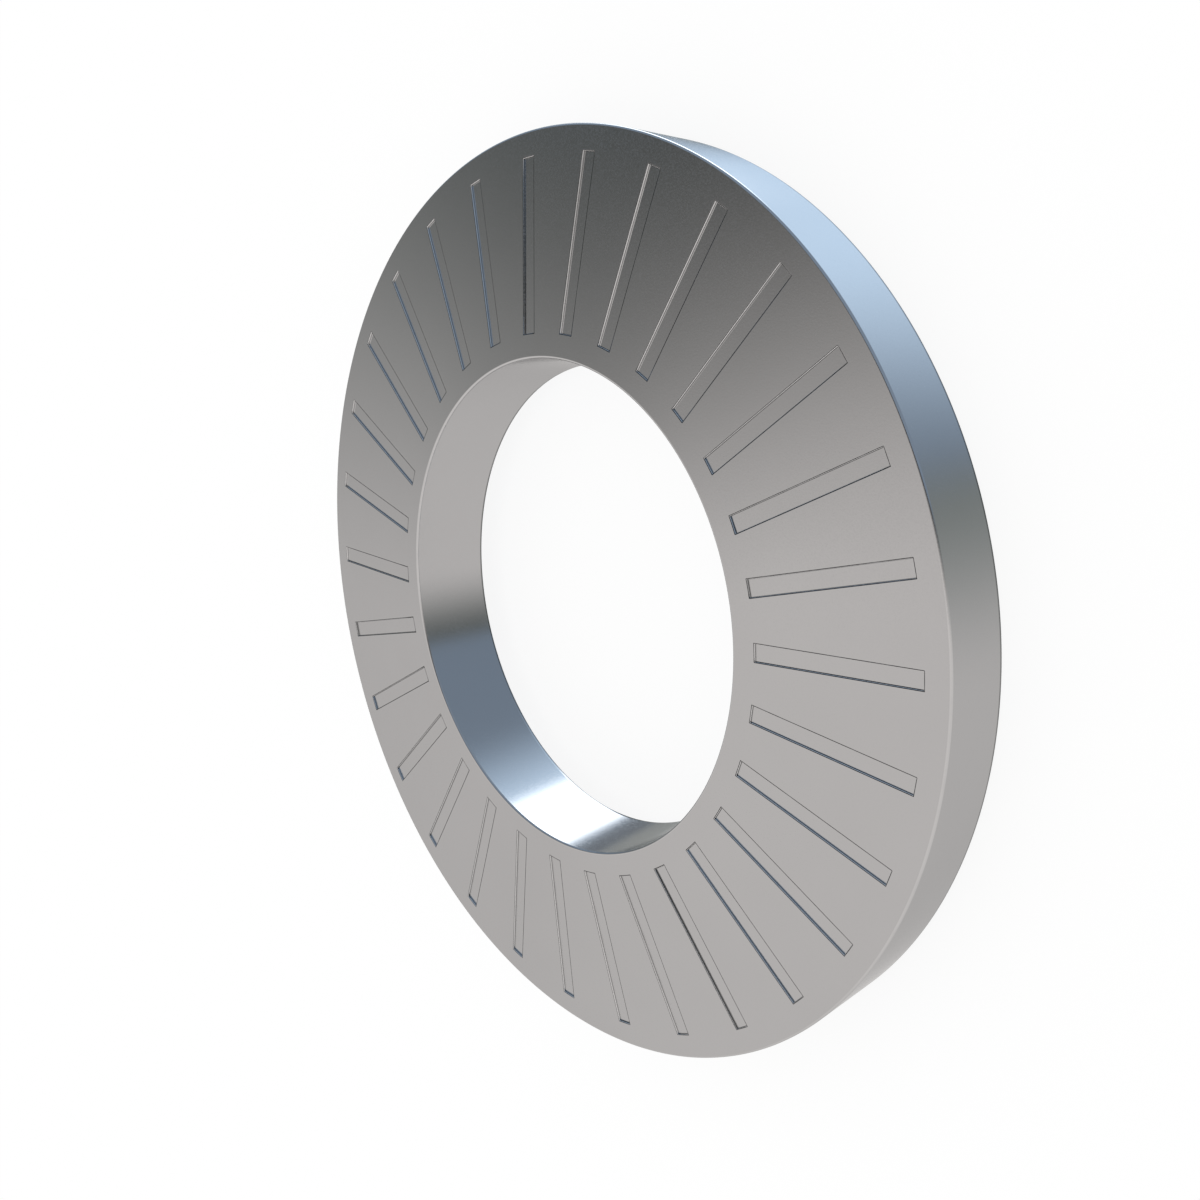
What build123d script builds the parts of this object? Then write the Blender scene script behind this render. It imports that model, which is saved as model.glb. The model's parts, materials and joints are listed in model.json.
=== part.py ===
from build123d import *

import math
import os

# A conical lock washer for an M8 bolt: one ring of steel sheet, coned, with radial grooves pressed into
# its raised face. Millimetres and degrees. The bolt axis is Z, and the washer lies on the lower edge of
# its rim with the raised face up.

# Ring
outer_diameter = 16.1  # over the rounded upper edge of the rim, the widest place
bore_diameter = 8.2  # at the narrow land, a clearance hole for an M8 bolt
sheet_thickness = 1.4  # square to the coned faces
cone_angle = 8.0  # the faces rise by this from the rim to the bore
land_length = 0.05  # the straight land that the punch leaves at the lower end of the bore
edge_radius = 0.04  # the worn-off edges of the rim and the upper edge of the bore

# Grooves in the raised face
groove_count = 30
groove_width = 0.28
groove_depth = 0.03
groove_edge_radius = 0.01  # where the walls of a groove roll over into the raised face
groove_to_rim = 0.445  # plain face outside the grooves, along the slope
groove_to_bore = 0.425  # plain face inside the grooves, along the slope
tool_head_height = 0.3  # of the wide head that the groove tool's bar stands on
tool_head_gap = 0.001  # between that head and the raised face, when the bar is fully in

rise = math.radians(cone_angle)
down_slope = Vector(math.cos(rise), 0, -math.sin(rise))  # along the raised face, from the bore to the rim
face_normal = Vector(math.sin(rise), 0, math.cos(rise))

# Corners of the section, in the XZ plane: the sheet's rectangle, tilted by the cone angle. The sharp
# corners of the rim lie outside their rounded edges, which reach the outer diameter and the level Z = 0.
corner_reach = edge_radius * (math.sin(rise) + math.cos(rise) - 1)
upper_rim_radius = outer_diameter / 2 + corner_reach
lower_rim = Vector(upper_rim_radius - sheet_thickness * math.sin(rise), 0, -corner_reach)
upper_rim = lower_rim + face_normal * sheet_thickness
land_foot = lower_rim - down_slope * ((lower_rim.X - bore_diameter / 2) / math.cos(rise))
land_top = land_foot + Vector(0, 0, land_length)
bore_wall_length = sheet_thickness - land_length * math.cos(rise)
upper_bore = land_top + face_normal * bore_wall_length


def plain_ring():
    """The coned ring, turned from its section, with the edges that a hand would feel rounded off."""
    corners = [lower_rim, upper_rim, upper_bore, land_top, land_foot]
    radii = [edge_radius, edge_radius, edge_radius, 0, 0]
    outline = FilletPolyline(*corners, radius=radii, close=True)
    return revolve(make_face(outline), Axis.Z)


def groove_tool():
    """The tool for one groove, over +X: a bar along the slope, rounded out into a head above the face."""
    slope_length = (upper_rim - upper_bore).length
    groove_length = slope_length - groove_to_rim - groove_to_bore
    middle = upper_bore + down_slope * (groove_to_bore + groove_length / 2)
    bar_height = groove_depth + tool_head_gap
    bar = Box(groove_length, groove_width, bar_height, align=(Align.CENTER, Align.CENTER, Align.MAX))
    head_overhang = 2 * groove_edge_radius
    head_length = groove_length + 2 * head_overhang
    head_width = groove_width + 2 * head_overhang
    head = Box(head_length, head_width, tool_head_height, align=(Align.CENTER, Align.CENTER, Align.MIN))
    tool = bar + head
    bar_end, head_underside, head_top = tool.faces().filter_by(Plane.XY).sort_by(Axis.Z)
    tool = fillet(head_underside.inner_wires()[0].edges(), groove_edge_radius)
    seat = Plane(origin=middle + face_normal * tool_head_gap, x_dir=down_slope, z_dir=face_normal)
    return seat * tool


def lock_washer():
    """The finished washer: the plain ring less its evenly spaced grooves, the first one over +X."""
    tool = groove_tool()
    step = 360 / groove_count
    return plain_ring() - [Rot(0, 0, turn * step) * tool for turn in range(groove_count)]


os.makedirs("parts", exist_ok=True)
export_step(lock_washer(), "parts/lock_washer.step")
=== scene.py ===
import json
import math

import bpy
from mathutils import Matrix, Vector


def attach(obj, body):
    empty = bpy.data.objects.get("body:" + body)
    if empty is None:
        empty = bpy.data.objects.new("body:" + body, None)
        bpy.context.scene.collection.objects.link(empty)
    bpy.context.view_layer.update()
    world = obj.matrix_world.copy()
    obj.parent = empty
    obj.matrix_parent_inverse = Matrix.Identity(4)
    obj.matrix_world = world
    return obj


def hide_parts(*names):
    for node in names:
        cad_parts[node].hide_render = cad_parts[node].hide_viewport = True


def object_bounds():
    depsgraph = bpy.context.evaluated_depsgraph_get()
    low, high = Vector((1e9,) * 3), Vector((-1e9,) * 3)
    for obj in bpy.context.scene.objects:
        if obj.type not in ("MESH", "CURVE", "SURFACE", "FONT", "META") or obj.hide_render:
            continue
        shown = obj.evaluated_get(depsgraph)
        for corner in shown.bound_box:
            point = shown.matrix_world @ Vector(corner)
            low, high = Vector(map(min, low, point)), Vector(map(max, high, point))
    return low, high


# A conical lock washer of satin steel, lying on a pale floor with its grooved face up. The solid's mesh is
# replaced by a finer one of the same form, so that its round edges and its grooves reflect cleanly.
# Metres and radians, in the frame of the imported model: the bolt axis is Z, and the floor is at Z = 0.

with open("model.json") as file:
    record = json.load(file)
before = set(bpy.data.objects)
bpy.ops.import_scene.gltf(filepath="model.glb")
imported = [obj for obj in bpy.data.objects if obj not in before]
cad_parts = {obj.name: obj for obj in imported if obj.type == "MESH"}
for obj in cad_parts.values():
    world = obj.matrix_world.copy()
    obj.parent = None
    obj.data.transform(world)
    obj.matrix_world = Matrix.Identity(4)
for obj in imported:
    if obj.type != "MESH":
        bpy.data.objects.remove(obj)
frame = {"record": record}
cad_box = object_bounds()
mm = 0.001

# The washer, at the sizes of its solid
outer_radius = cad_box[1].x
bore_radius = frame["record"]["mounts"][0]["dims"]["r_mm"] * mm
land_length = frame["record"]["mounts"][0]["dims"]["length_mm"] * mm
sheet_thickness = 1.4 * mm
cone_angle = math.radians(8)
edge_radius = 0.04 * mm
land_edge_radius = 0.015 * mm  # the edge of the land, which is as good as sharp
groove_count = 30
groove_half_width = 0.14 * mm
groove_depth = 0.03 * mm
groove_edge_radius = 0.008 * mm  # crisper than the solid's, as the photo shows
groove_to_rim = 0.445 * mm
groove_to_bore = 0.425 * mm

# How finely the mesh is divided
edge_steps = 6
groove_edge_steps = 5
dark_edge_steps = 1  # of the groove's edge, which its dark line of painted shade covers
wall_steps = 5
back_steps = 10
groove_length_steps = 8
groove_width_steps = 4
margin_steps = 3
sector_side_steps = 6
groove_column = sector_side_steps + 1  # the first column of a sector that crosses its groove

# Steel. Tones multiply its colour as painted light: shade at the groove edges, in the creases and on the lower
# edges, highlights on the groove walls and upper edges.
steel_dark = (0.48, 0.48, 0.48)
steel_light = (0.52, 0.52, 0.52)
edge_tint = 0.75  # keeps the steel from brightening at grazing angles
cloud_size = 3 * mm
grain_size = 0.03 * mm
grain_depth = 0.0003 * mm
roughness_low = 0.1
roughness_high = 0.2
groove_line_width = 0.012 * mm  # how far the dark lines of painted shade reach from the edges of the grooves
foot_line_width = 0.013 * mm  # and, as painted shade, from the feet of their walls, mostly over the floor
lower_line_width = 0.04 * mm  # and, as painted shade, up the rim from its lower edge
patchiness = 0.5  # of the lines
patch_size = 0.3 * mm
# Painted highlight: the colour of the groove walls is raised, as if they caught more light.
wall_painted_highlight = 1.9
groove_edge_painted_shade = -0.4  # painted shade along the groove edges; below zero is as dark as zero, over more of the line
# Painted shade in the crease at the feet of the groove walls.
foot_painted_shade = 0
# Painted shade along the lower edges of the rim and the land.
lower_edge_painted_shade = 0.2
# Painted highlight along the upper edges of the rim and the bore.
upper_edge_painted_highlight = 1.15
edge_lean = math.radians(50)  # how far the face seems to turn down over the line at a groove's edge

# Camera
camera_aim = Vector((0.5015, 0.1430, 1.3612)) * mm
camera_distance = 28.570 * mm
camera_azimuth = math.radians(15.716)
camera_elevation = math.radians(38.356)
camera_roll = math.radians(102.316)

# Floor
floor_half = 0.4
floor_own_white = 0.88

# Surround that the steel reflects: tones as linear values, heights as sines, angles in degrees as the function
# named seen takes them
sky_lean = 6.6
far_side = 147
ground_near = (0.90, 0.865, 0.85)
ground_far = (0.80, 0.78, 0.77)
horizon_near = (0, 0, 0)
horizon_far = (0.37, 0.405, 0.40)
sky = (0.29, 0.363, 0.464)
ground_end = (-0.245, 0.274)
sky_rise = (0.206, 0.362)
large_light = (0.80, 1.03, 1.29)
large_light_place = (155, 52, 11, 53)
small_light = (2.4, 2.4, 2.4)
small_light_place = (177, 58, 13, 23.5)
cards = [  # dark and grey ones between the lights: (colour, place)
    ((0, 0, 0), (203, -6, 8, 24)),
    ((0.27, 0.30, 0.34), (186, 30, 4, 18)),
    ((0.51, 0.53, 0.52), (188, 13, 6, 15)),
]

half_sector = math.pi / groove_count
down_slope = Vector((math.cos(cone_angle), 0, -math.sin(cone_angle)))
face_normal = Vector((math.sin(cone_angle), 0, math.cos(cone_angle)))


def section_corners():
    """Sharp corners of the section in the XZ plane, from the lower edge of the rim round to the bore's foot."""
    corner_reach = edge_radius * (math.sin(cone_angle) + math.cos(cone_angle) - 1)
    upper_rim_radius = outer_radius + corner_reach
    lower_rim = Vector((upper_rim_radius - sheet_thickness * math.sin(cone_angle), 0, -corner_reach))
    upper_rim = lower_rim + face_normal * sheet_thickness
    land_foot = lower_rim - down_slope * ((lower_rim.x - bore_radius) / math.cos(cone_angle))
    land_top = land_foot + Vector((0, 0, land_length))
    upper_bore = land_top + face_normal * (sheet_thickness - land_length * math.cos(cone_angle))
    return lower_rim, upper_rim, upper_bore, land_top, land_foot


def outward(start, end):
    """Unit normal of the section's side from start to end, out of the metal."""
    along = (end - start).normalized()
    return Vector((along.z, 0, -along.x))


def rounded_corner(before, corner, after, radius, steps, tones):
    """Places, normals and tones over a corner of the section, from one side's tangent point to the other's. The
    tones are those of the first point, the middle and the last point."""
    first, last = outward(before, corner), outward(corner, after)
    turn = first.angle(last)
    centre = corner - (first + last).normalized() * radius / math.cos(turn / 2)
    normals = [first.slerp(last, step / steps) for step in range(steps + 1)]
    tones = [tones[0]] + [tones[1]] * (steps - 1) + [tones[2]]
    return [(centre + normal * radius, normal, tone) for normal, tone in zip(normals, tones)]


def side(start, end, steps):
    """Places, normals and tones between two rounded corners, without the ends, which belong to the corners."""
    normal = outward(start, end)
    return [(start.lerp(end, step / steps), normal, 1) for step in range(1, steps)]


def section_rows():
    """The section as rows of (place, normal, tone), and the row at which the grooves begin."""
    lower_rim, upper_rim, upper_bore, land_top, land_foot = section_corners()
    dark, light = lower_edge_painted_shade, upper_edge_painted_highlight
    # The lower edges of the rim and the land, and the rim up to above_line, get painted shade.
    at_lower_rim = rounded_corner(land_foot, lower_rim, upper_rim, edge_radius, edge_steps, (1, dark, dark))
    # The upper edges of the rim and the bore get a painted highlight.
    at_upper_rim = rounded_corner(lower_rim, upper_rim, upper_bore, edge_radius, edge_steps, (1, light, 1))
    at_upper_bore = rounded_corner(upper_rim, upper_bore, land_top, edge_radius, edge_steps, (1, light, 1))
    at_land_top = rounded_corner(upper_bore, land_top, land_foot, edge_radius, 2, (1, 1, 1))
    at_land_foot = rounded_corner(land_top, land_foot, lower_rim, land_edge_radius, edge_steps, (dark, dark, 1))
    face = raised_face(upper_rim, upper_bore)
    above_line = at_lower_rim[-1][0] + face_normal * lower_line_width
    rim_wall = side(above_line, at_upper_rim[0][0], wall_steps)
    rim_wall.insert(0, (above_line, rim_wall[0][1], 1))
    bore_wall = side(at_upper_bore[-1][0], at_land_top[0][0], wall_steps)
    back = side(at_land_foot[-1][0], at_lower_rim[0][0], back_steps)
    rows = at_lower_rim + rim_wall + at_upper_rim
    groove_start = len(rows) + margin_steps
    rows += face + at_upper_bore + bore_wall + at_land_top + at_land_foot + back
    return rows, groove_start


def raised_face(upper_rim, upper_bore):
    """Rows across the raised face from the rim to the bore, with rows at both ends of the grooves and of the
    lines round them."""
    length = (upper_bore - upper_rim).length
    rim_end = groove_to_rim - groove_edge_radius
    bore_end = length - groove_to_bore + groove_edge_radius
    stops = [(edge_radius, rim_end - groove_line_width, margin_steps),
             (rim_end - groove_line_width, rim_end, 1),
             (rim_end, bore_end, groove_length_steps),
             (bore_end, bore_end + groove_line_width, 1),
             (bore_end + groove_line_width, length - edge_radius, margin_steps)]
    distances = [a + (b - a) * step / steps for a, b, steps in stops for step in range(steps)][1:]
    return [(upper_rim - down_slope * distance, face_normal, 1) for distance in distances]


def sector_columns():
    """Columns of one groove's sector: (distance from the groove's middle line, share of the way on from there
    to the border of the sector)."""
    reach = groove_half_width + groove_edge_radius
    over_groove = [(reach * (2 * step / groove_width_steps - 1), 0) for step in range(groove_width_steps + 1)]
    beside = reach + groove_line_width
    before = [(-beside, 1 - step / sector_side_steps) for step in range(sector_side_steps + 1)]
    after = [(beside, step / sector_side_steps) for step in range(sector_side_steps)]
    return before + over_groove + after


def on_ring(place, normal, across, share, turn):
    """The point and normal where a row meets a column, in the sector turned by turn about the axis."""
    spread = math.atan2(across, place.x)
    border = math.copysign(half_sector, across)
    angle = turn + spread + share * (border - spread)
    around = Vector((math.cos(angle), math.sin(angle), 0))
    up = Vector((0, 0, 1))
    return around * place.x + up * place.z, around * normal.x + up * normal.z


def groove_rings():
    """(way in from the groove's outline, depth, tone) of each ring of points: over the rounded edge, down the
    wall and onto the floor."""
    rings = []
    for step in range(1, groove_edge_steps + 1):
        turn = math.pi / 2 * step / groove_edge_steps
        # The first steps over the groove's edge get painted shade, and the others the walls' painted highlight.
        tone = groove_edge_painted_shade if step <= dark_edge_steps else wall_painted_highlight
        depth = groove_edge_radius * (1 - math.cos(turn))
        rings.append((groove_edge_radius * math.sin(turn), depth, tone))
    # The wall down to its foot gets the painted highlight.
    rings.append((groove_edge_radius, groove_depth - foot_line_width / 4, wall_painted_highlight))
    # The foot of the wall gets painted shade.
    rings.append((groove_edge_radius, groove_depth, foot_painted_shade))
    rings.append((groove_edge_radius + foot_line_width * 3 / 4, groove_depth, 1))
    return rings


class Surface:
    """Points, normals, tones and faces of a mesh as they are collected."""

    def __init__(self):
        self.points = []
        self.normals = []
        self.tones = []
        self.faces = []

    def add(self, point, normal, tone):
        """Adds a point and returns its number. A point with no normal gets a smooth one from its faces."""
        self.points.append(point)
        self.normals.append(normal)
        self.tones.append(tone)
        return len(self.points) - 1


def groove(surface, numbers, rows, columns, first_row, turn):
    """Fills the hole that one groove leaves in the grid: rings of faces over its edge and walls, and its floor."""
    last_row = first_row + groove_length_steps
    last_column = groove_width_steps
    step_in = Matrix.Rotation(turn, 3, "Z")
    outline = [(row, 0) for row in range(groove_length_steps)]
    outline += [(groove_length_steps, column) for column in range(last_column)]
    outline += [(row, last_column) for row in range(groove_length_steps, 0, -1)]
    outline += [(0, column) for column in range(last_column, 0, -1)]
    rim_end = rows[first_row][0]
    length = (rows[last_row][0] - rim_end).length
    reach = groove_half_width + groove_edge_radius

    def lowered(row, column, inset, depth):
        along = length * row / groove_length_steps
        along = min(max(along, inset), length - inset)
        across = columns[column + groove_column][0]
        across = min(max(across, inset - reach), reach - inset)
        return step_in @ (rim_end - down_slope * along + Vector((0, across, 0)) - face_normal * depth)

    def leaning(row, column):
        inward = Vector(((row == groove_length_steps) - (row == 0), (column == 0) - (column == last_column), 0))
        inward = down_slope * inward.x + Vector((0, inward.y, 0))
        return step_in @ (face_normal * math.cos(edge_lean) + inward.normalized() * math.sin(edge_lean))

    ring = [numbers[first_row + row][column + groove_column] for row, column in outline]
    # The outline ring is painted dark, as shade along the groove's edge.
    for number, place in zip(ring, outline):
        surface.normals[number] = leaning(*place)
        surface.tones[number] = groove_edge_painted_shade
    for inset, depth, tone in groove_rings():
        inner = [surface.add(lowered(row, column, inset, depth), None, tone) for row, column in outline]
        for k in range(len(outline)):
            after = (k + 1) % len(outline)
            surface.faces.append((ring[k], ring[after], inner[after], inner[k]))
        ring = inner
    floor = dict(zip(outline, ring))
    for row in range(1, groove_length_steps):
        for column in range(1, last_column):
            floor[row, column] = surface.add(lowered(row, column, 0, groove_depth), None, 1)
    for row in range(groove_length_steps):
        for column in range(last_column):
            surface.faces.append((floor[row, column], floor[row + 1, column],
                                  floor[row + 1, column + 1], floor[row, column + 1]))


def washer_mesh():
    """The whole washer as one closed mesh, with its grooves."""
    rows, first_row = section_rows()
    columns = sector_columns()
    surface = Surface()
    numbers = []
    for r, (place, normal, tone) in enumerate(rows):
        over_grooves = first_row < r < first_row + groove_length_steps
        row = []
        for sector in range(groove_count):
            turn = 2 * half_sector * sector
            for c, (across, share) in enumerate(columns):
                if over_grooves and 0 < c - groove_column < groove_width_steps:
                    row.append(None)
                else:
                    row.append(surface.add(*on_ring(place, normal, across, share, turn), tone))
        numbers.append(row)
    around = len(numbers[0])
    for r in range(len(rows)):
        below, above = numbers[r], numbers[(r + 1) % len(rows)]
        beside_groove = first_row <= r < first_row + groove_length_steps
        for c in range(around):
            if beside_groove and 0 <= c % len(columns) - groove_column < groove_width_steps:
                continue
            after = (c + 1) % around
            surface.faces.append((below[c], below[after], above[after], above[c]))
    for sector in range(groove_count):
        start = sector * len(columns)
        own = [row[start:start + len(columns)] for row in numbers]
        groove(surface, own, rows, columns, first_row, 2 * half_sector * sector)
    mesh = bpy.data.meshes.new("washer")
    mesh.from_pydata(surface.points, [], surface.faces)
    mesh.validate()
    mesh.set_sharp_from_angle(angle=math.radians(50))
    smooth = [corner.vector.copy() for corner in mesh.corner_normals]
    known = [surface.normals[loop.vertex_index] for loop in mesh.loops]
    mesh.normals_split_custom_set([normal or smooth[k] for k, normal in enumerate(known)])
    mesh.attributes.new("tone", "FLOAT", "POINT").data.foreach_set("value", surface.tones)
    return mesh


piece = bpy.data.objects.new("grooved_washer", washer_mesh())
bpy.context.scene.collection.objects.link(piece)
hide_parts("lock_washer")
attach(piece, "root")


def socket(sockets, name):
    """The socket with this identifier, which is its name or, where several share a name, its own."""
    return next(each for each in sockets if each.identifier == name)


def add_node(tree, kind, inputs, **settings):
    """A new node with its settings made, and each of its inputs set to a value or linked to another node."""
    node = tree.nodes.new(kind)
    for name, value in settings.items():
        setattr(node, name, value)
    for name, value in inputs.items():
        if isinstance(value, bpy.types.NodeSocket):
            tree.links.new(value, socket(node.inputs, name))
        else:
            socket(node.inputs, name).default_value = value
    return node


def mixed(tree, share, first, second, blend="MIX"):
    """The second colour laid over the first by a share, as a socket."""
    inputs = {"Factor_Float": share, "A_Color": first, "B_Color": second}
    node = add_node(tree, "ShaderNodeMix", inputs, data_type="RGBA", blend_type=blend, clamp_result=False)
    return socket(node.outputs, "Result_Color")


def stepped(tree, value, low, high):
    """0 below low, 1 above high and a smooth rise between them, as a socket. With low above high it falls."""
    inputs = {"Value": value, "From Min": low, "From Max": high}
    return add_node(tree, "ShaderNodeMapRange", inputs, interpolation_type="SMOOTHSTEP").outputs["Result"]


def noise(tree, place, scale, detail):
    """Plain noise, about 0.5, as a socket."""
    inputs = {"Vector": place, "Scale": scale, "Detail": detail}
    return add_node(tree, "ShaderNodeTexNoise", inputs).outputs["Fac"]


def steel():
    """Satin steel: faint cloudiness, painted shade at the groove edges and in the creases, painted highlights on
    the groove walls and a fine grain.
    """
    material = bpy.data.materials.new("satin_steel")
    material.use_nodes = True
    tree = material.node_tree
    shader = tree.nodes["Principled BSDF"]
    shader.inputs["Metallic"].default_value = 1
    shader.inputs["Specular Tint"].default_value = (edge_tint, edge_tint, edge_tint, 1)
    place = tree.nodes.new("ShaderNodeTexCoord").outputs["Object"]
    cloud = noise(tree, place, 1 / cloud_size, 3)
    colour = mixed(tree, cloud, (*steel_dark, 1), (*steel_light, 1))
    # The tone attribute paints light into the colour: shade at edges and creases, highlights on the groove walls
    # and upper edges.
    tone = add_node(tree, "ShaderNodeAttribute", {}, attribute_name="tone").outputs["Fac"]
    patches = noise(tree, place, 1 / patch_size, 2)
    inputs = {"Value": patches, "To Min": 1 - patchiness, "To Max": 1 + patchiness}
    strength = add_node(tree, "ShaderNodeMapRange", inputs).outputs["Result"]
    darkest = add_node(tree, "ShaderNodeMath", {"Value": tone, "Value_001": 0.0}, operation="MAXIMUM")
    line = mixed(tree, strength, (1, 1, 1, 1), darkest.outputs["Value"])
    tree.links.new(mixed(tree, 1.0, colour, line, blend="MULTIPLY"), shader.inputs["Base Color"])
    grain = noise(tree, place, 1 / grain_size, 2)
    inputs = {"Value": grain, "From Min": 0.35, "From Max": 0.65}
    inputs |= {"To Min": roughness_low, "To Max": roughness_high}
    rough = add_node(tree, "ShaderNodeMapRange", inputs)
    tree.links.new(rough.outputs["Result"], shader.inputs["Roughness"])
    bump = add_node(tree, "ShaderNodeBump", {"Height": grain, "Distance": grain_depth, "Strength": 1.0})
    tree.links.new(bump.outputs["Normal"], shader.inputs["Normal"])
    return material


piece.data.materials.append(steel())


def photo_camera():
    """The camera, as the photograph was framed."""
    towards = Vector((math.cos(camera_azimuth) * math.cos(camera_elevation),
                      math.sin(camera_azimuth) * math.cos(camera_elevation), math.sin(camera_elevation)))
    level = towards.to_track_quat("Z", "Y").to_matrix().to_4x4()
    camera = bpy.data.objects.new("camera", bpy.data.cameras.new("camera"))
    camera.data.lens = 50
    camera.data.sensor_width = 36
    camera.data.clip_start = 1 * mm
    camera.data.clip_end = 10
    place = Matrix.Translation(camera_aim + towards * camera_distance)
    camera.matrix_world = place @ level @ Matrix.Rotation(-camera_roll, 4, "Z")
    bpy.context.scene.collection.objects.link(camera)
    bpy.context.scene.camera = camera
    return camera


camera = photo_camera()


def floor():
    """A plain white floor, most of whose white is its own, so that the washer's shadow stays light."""
    mesh = bpy.data.meshes.new("floor")
    corners = [(-floor_half, -floor_half, 0), (floor_half, -floor_half, 0),
               (floor_half, floor_half, 0), (-floor_half, floor_half, 0)]
    mesh.from_pydata(corners, [], [(0, 1, 2, 3)])
    stage = bpy.data.objects.new("floor", mesh)
    bpy.context.scene.collection.objects.link(stage)
    stage.visible_glossy = False
    material = bpy.data.materials.new("floor")
    material.use_nodes = True
    tree = material.node_tree
    tree.nodes.clear()
    matt = add_node(tree, "ShaderNodeBsdfDiffuse", {"Color": (1, 1, 1, 1)})
    own = add_node(tree, "ShaderNodeEmission", {"Color": (1, 1, 1, 1), "Strength": 1})
    rays = tree.nodes.new("ShaderNodeLightPath")
    inputs = {"Value": rays.outputs["Is Camera Ray"], "Value_001": floor_own_white}
    share = add_node(tree, "ShaderNodeMath", inputs, operation="MULTIPLY").outputs["Value"]
    inputs = {"Fac": share, "Shader": matt.outputs["BSDF"], "Shader_001": own.outputs["Emission"]}
    both = add_node(tree, "ShaderNodeMixShader", inputs)
    add_node(tree, "ShaderNodeOutputMaterial", {"Surface": both.outputs["Shader"]})
    mesh.materials.append(material)


floor()


def seen(azimuth, elevation):
    """The direction at these angles, in degrees: azimuth 0 is towards the camera and 90 to the right in its
    picture, and elevation is up in its picture."""
    a, e = math.radians(azimuth), math.radians(elevation)
    in_picture = Vector((math.sin(a) * math.cos(e), math.sin(e), math.cos(a) * math.cos(e)))
    return (camera.matrix_world.to_3x3() @ in_picture).normalized()


def along(tree, direction, axis):
    """Cosine of the angle between the ray and an axis, as a socket."""
    inputs = {"Vector": direction, "Vector_001": axis}
    return add_node(tree, "ShaderNodeVectorMath", inputs, operation="DOT_PRODUCT").outputs["Value"]


def patch(tree, direction, place):
    """1 inside a round patch of the surround, 0 outside it, as a socket: (azimuth, elevation, inner and outer
    radius), in degrees."""
    azimuth, elevation, inner, outer = place
    cosine = along(tree, direction, seen(azimuth, elevation))
    angle = add_node(tree, "ShaderNodeMath", {"Value": cosine}, operation="ARCCOSINE").outputs["Value"]
    return stepped(tree, angle, math.radians(outer), math.radians(inner))


def surround(tree):
    """What the metal reflects, as a socket: a studio's ground, dark horizon and blue sky, two soft
    lights and the cards."""
    direction = tree.nodes.new("ShaderNodeTexCoord").outputs["Generated"]
    height = along(tree, direction, seen(0, 90 - sky_lean))
    sideways = along(tree, direction, seen(far_side, 0))
    far = add_node(tree, "ShaderNodeMapRange", {"Value": sideways, "From Min": -1}).outputs["Result"]
    ground = mixed(tree, far, (*ground_near, 1), (*ground_far, 1))
    horizon = mixed(tree, far, (*horizon_near, 1), (*horizon_far, 1))
    in_sky = stepped(tree, height, *sky_rise)
    tone = mixed(tree, stepped(tree, height, *ground_end), ground, horizon)
    tone = mixed(tree, in_sky, tone, (*sky, 1))
    inputs = {"Value": patch(tree, direction, large_light_place), "Value_001": in_sky}
    large = add_node(tree, "ShaderNodeMath", inputs, operation="MULTIPLY").outputs["Value"]
    tone = mixed(tree, large, tone, (*large_light, 1), blend="ADD")
    tone = mixed(tree, patch(tree, direction, small_light_place), tone, (*small_light, 1), blend="ADD")
    for colour, place in cards:
        tone = mixed(tree, patch(tree, direction, place), tone, (*colour, 1))
    return tone


def studio():
    """The world: plain white light on all that is matt, and the graded surround in the metal's reflections."""
    world = bpy.data.worlds.new("studio")
    bpy.context.scene.world = world
    world.use_nodes = True
    world.cycles.sampling_method = "NONE"
    tree = world.node_tree
    tree.nodes.clear()
    rays = tree.nodes.new("ShaderNodeLightPath")
    tone = mixed(tree, rays.outputs["Is Glossy Ray"], (1, 1, 1, 1), surround(tree))
    background = add_node(tree, "ShaderNodeBackground", {"Color": tone, "Strength": 1})
    add_node(tree, "ShaderNodeOutputWorld", {"Surface": background.outputs["Background"]})


studio()
bpy.context.scene.view_settings.view_transform = "Standard"
